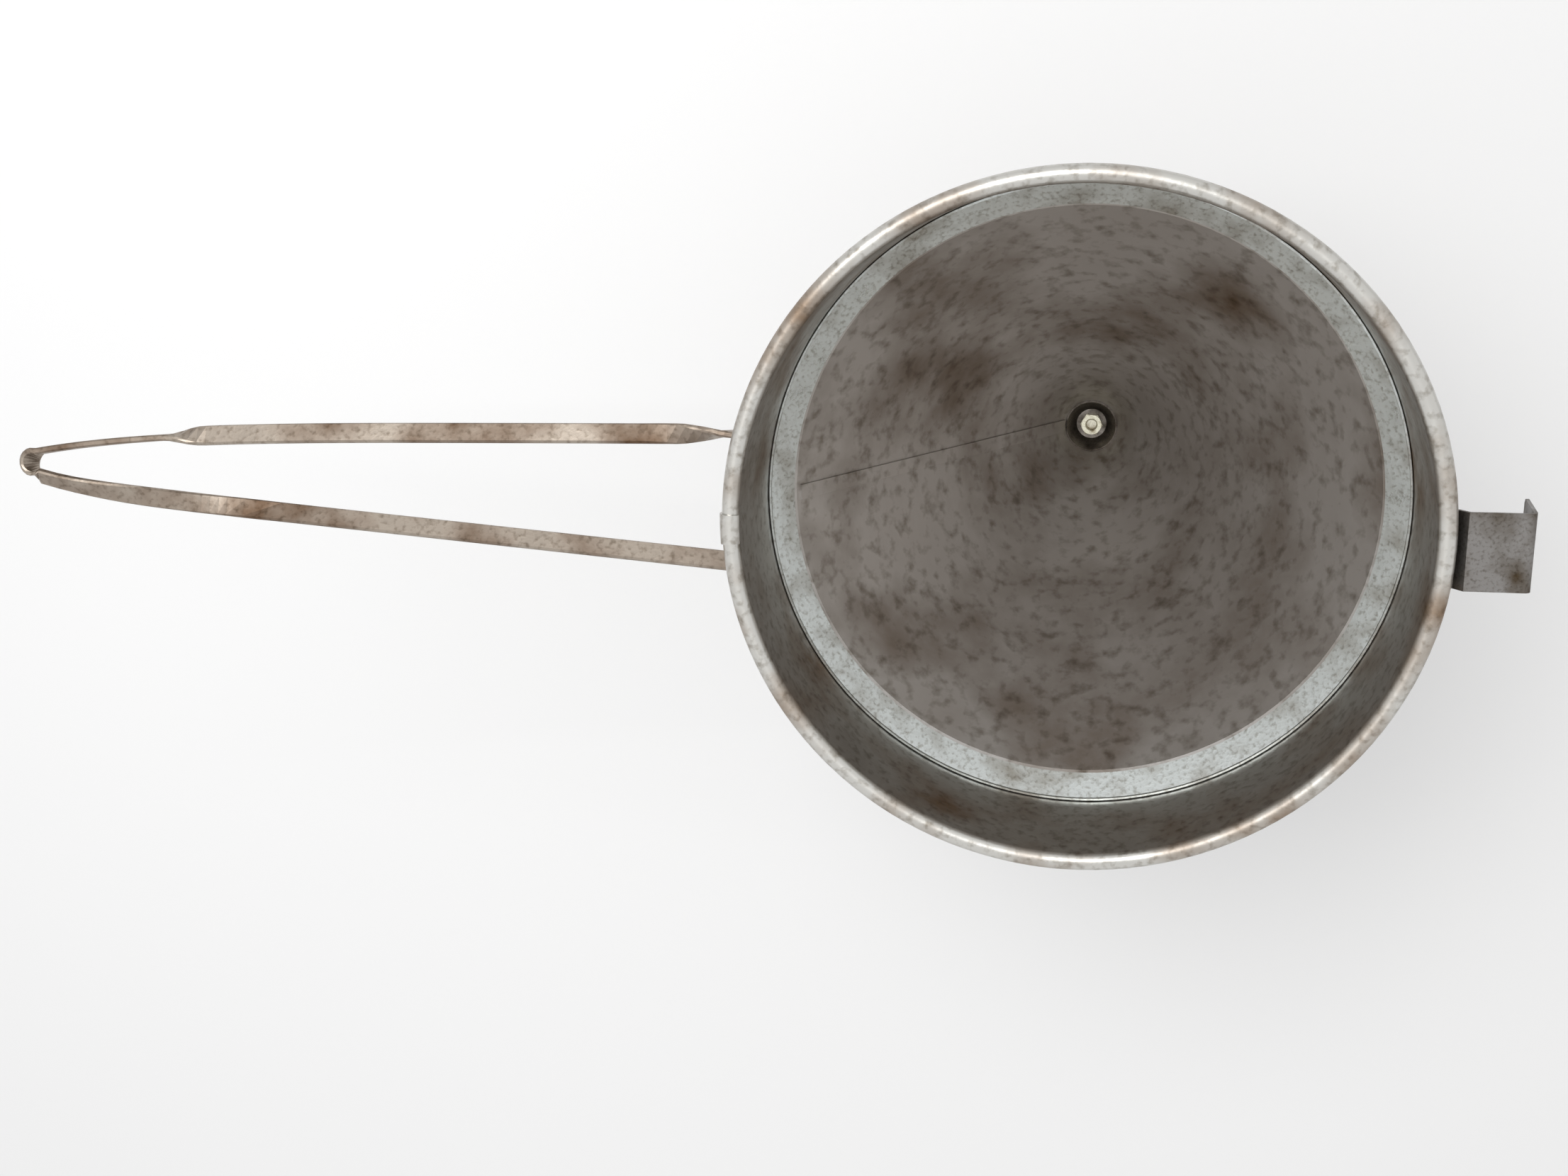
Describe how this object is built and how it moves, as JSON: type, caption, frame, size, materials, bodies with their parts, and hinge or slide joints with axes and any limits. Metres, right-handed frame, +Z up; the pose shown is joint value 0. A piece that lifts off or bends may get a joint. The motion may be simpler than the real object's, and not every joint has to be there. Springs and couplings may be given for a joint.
{
  "type": "cone strainer",
  "caption": "Cone-shaped metal kitchen strainer: plain collar with a wired rim, perforated cone, guard wires, strap handle and a hook that rests on a pot.",
  "frame": {"origin": "centre of the mouth, in the plane of the rim's top", "axes": "+Z up out of the mouth along the cone's axis, +X from the handle towards the hook, +Y across the handle"},
  "size_m": [0.4702, 0.214, 0.2298],
  "materials": {
    "collar_steel": "tinned sheet steel, dulled and mottled",
    "wire_steel": "tinned steel wire",
    "cone_steel": "tinned perforated sheet",
    "ring_steel": "zinc-grey strip with hammer marks",
    "tip_steel": "dark pressed steel",
    "nut_steel": "bright zinc",
    "strap_steel": "brown tarnished steel with worn patches",
    "hook_steel": "dark grey stained steel"
  },
  "bodies": {
    "root": {"collar_band": "collar_steel", "rim_wire": "wire_steel", "perforated_cone": "cone_steel", "clamp_ring": "ring_steel", "guard_wire_1": "wire_steel", "guard_wire_2": "wire_steel", "guard_wire_3": "wire_steel", "guard_wire_4": "wire_steel", "guard_wire_5": "wire_steel", "tip_cap": "tip_steel", "tip_screw": "nut_steel", "inner_cup": "tip_steel", "hex_nut": "nut_steel", "handle_strap": "strap_steel", "pot_hook": "hook_steel"}
  },
  "joints": []
}
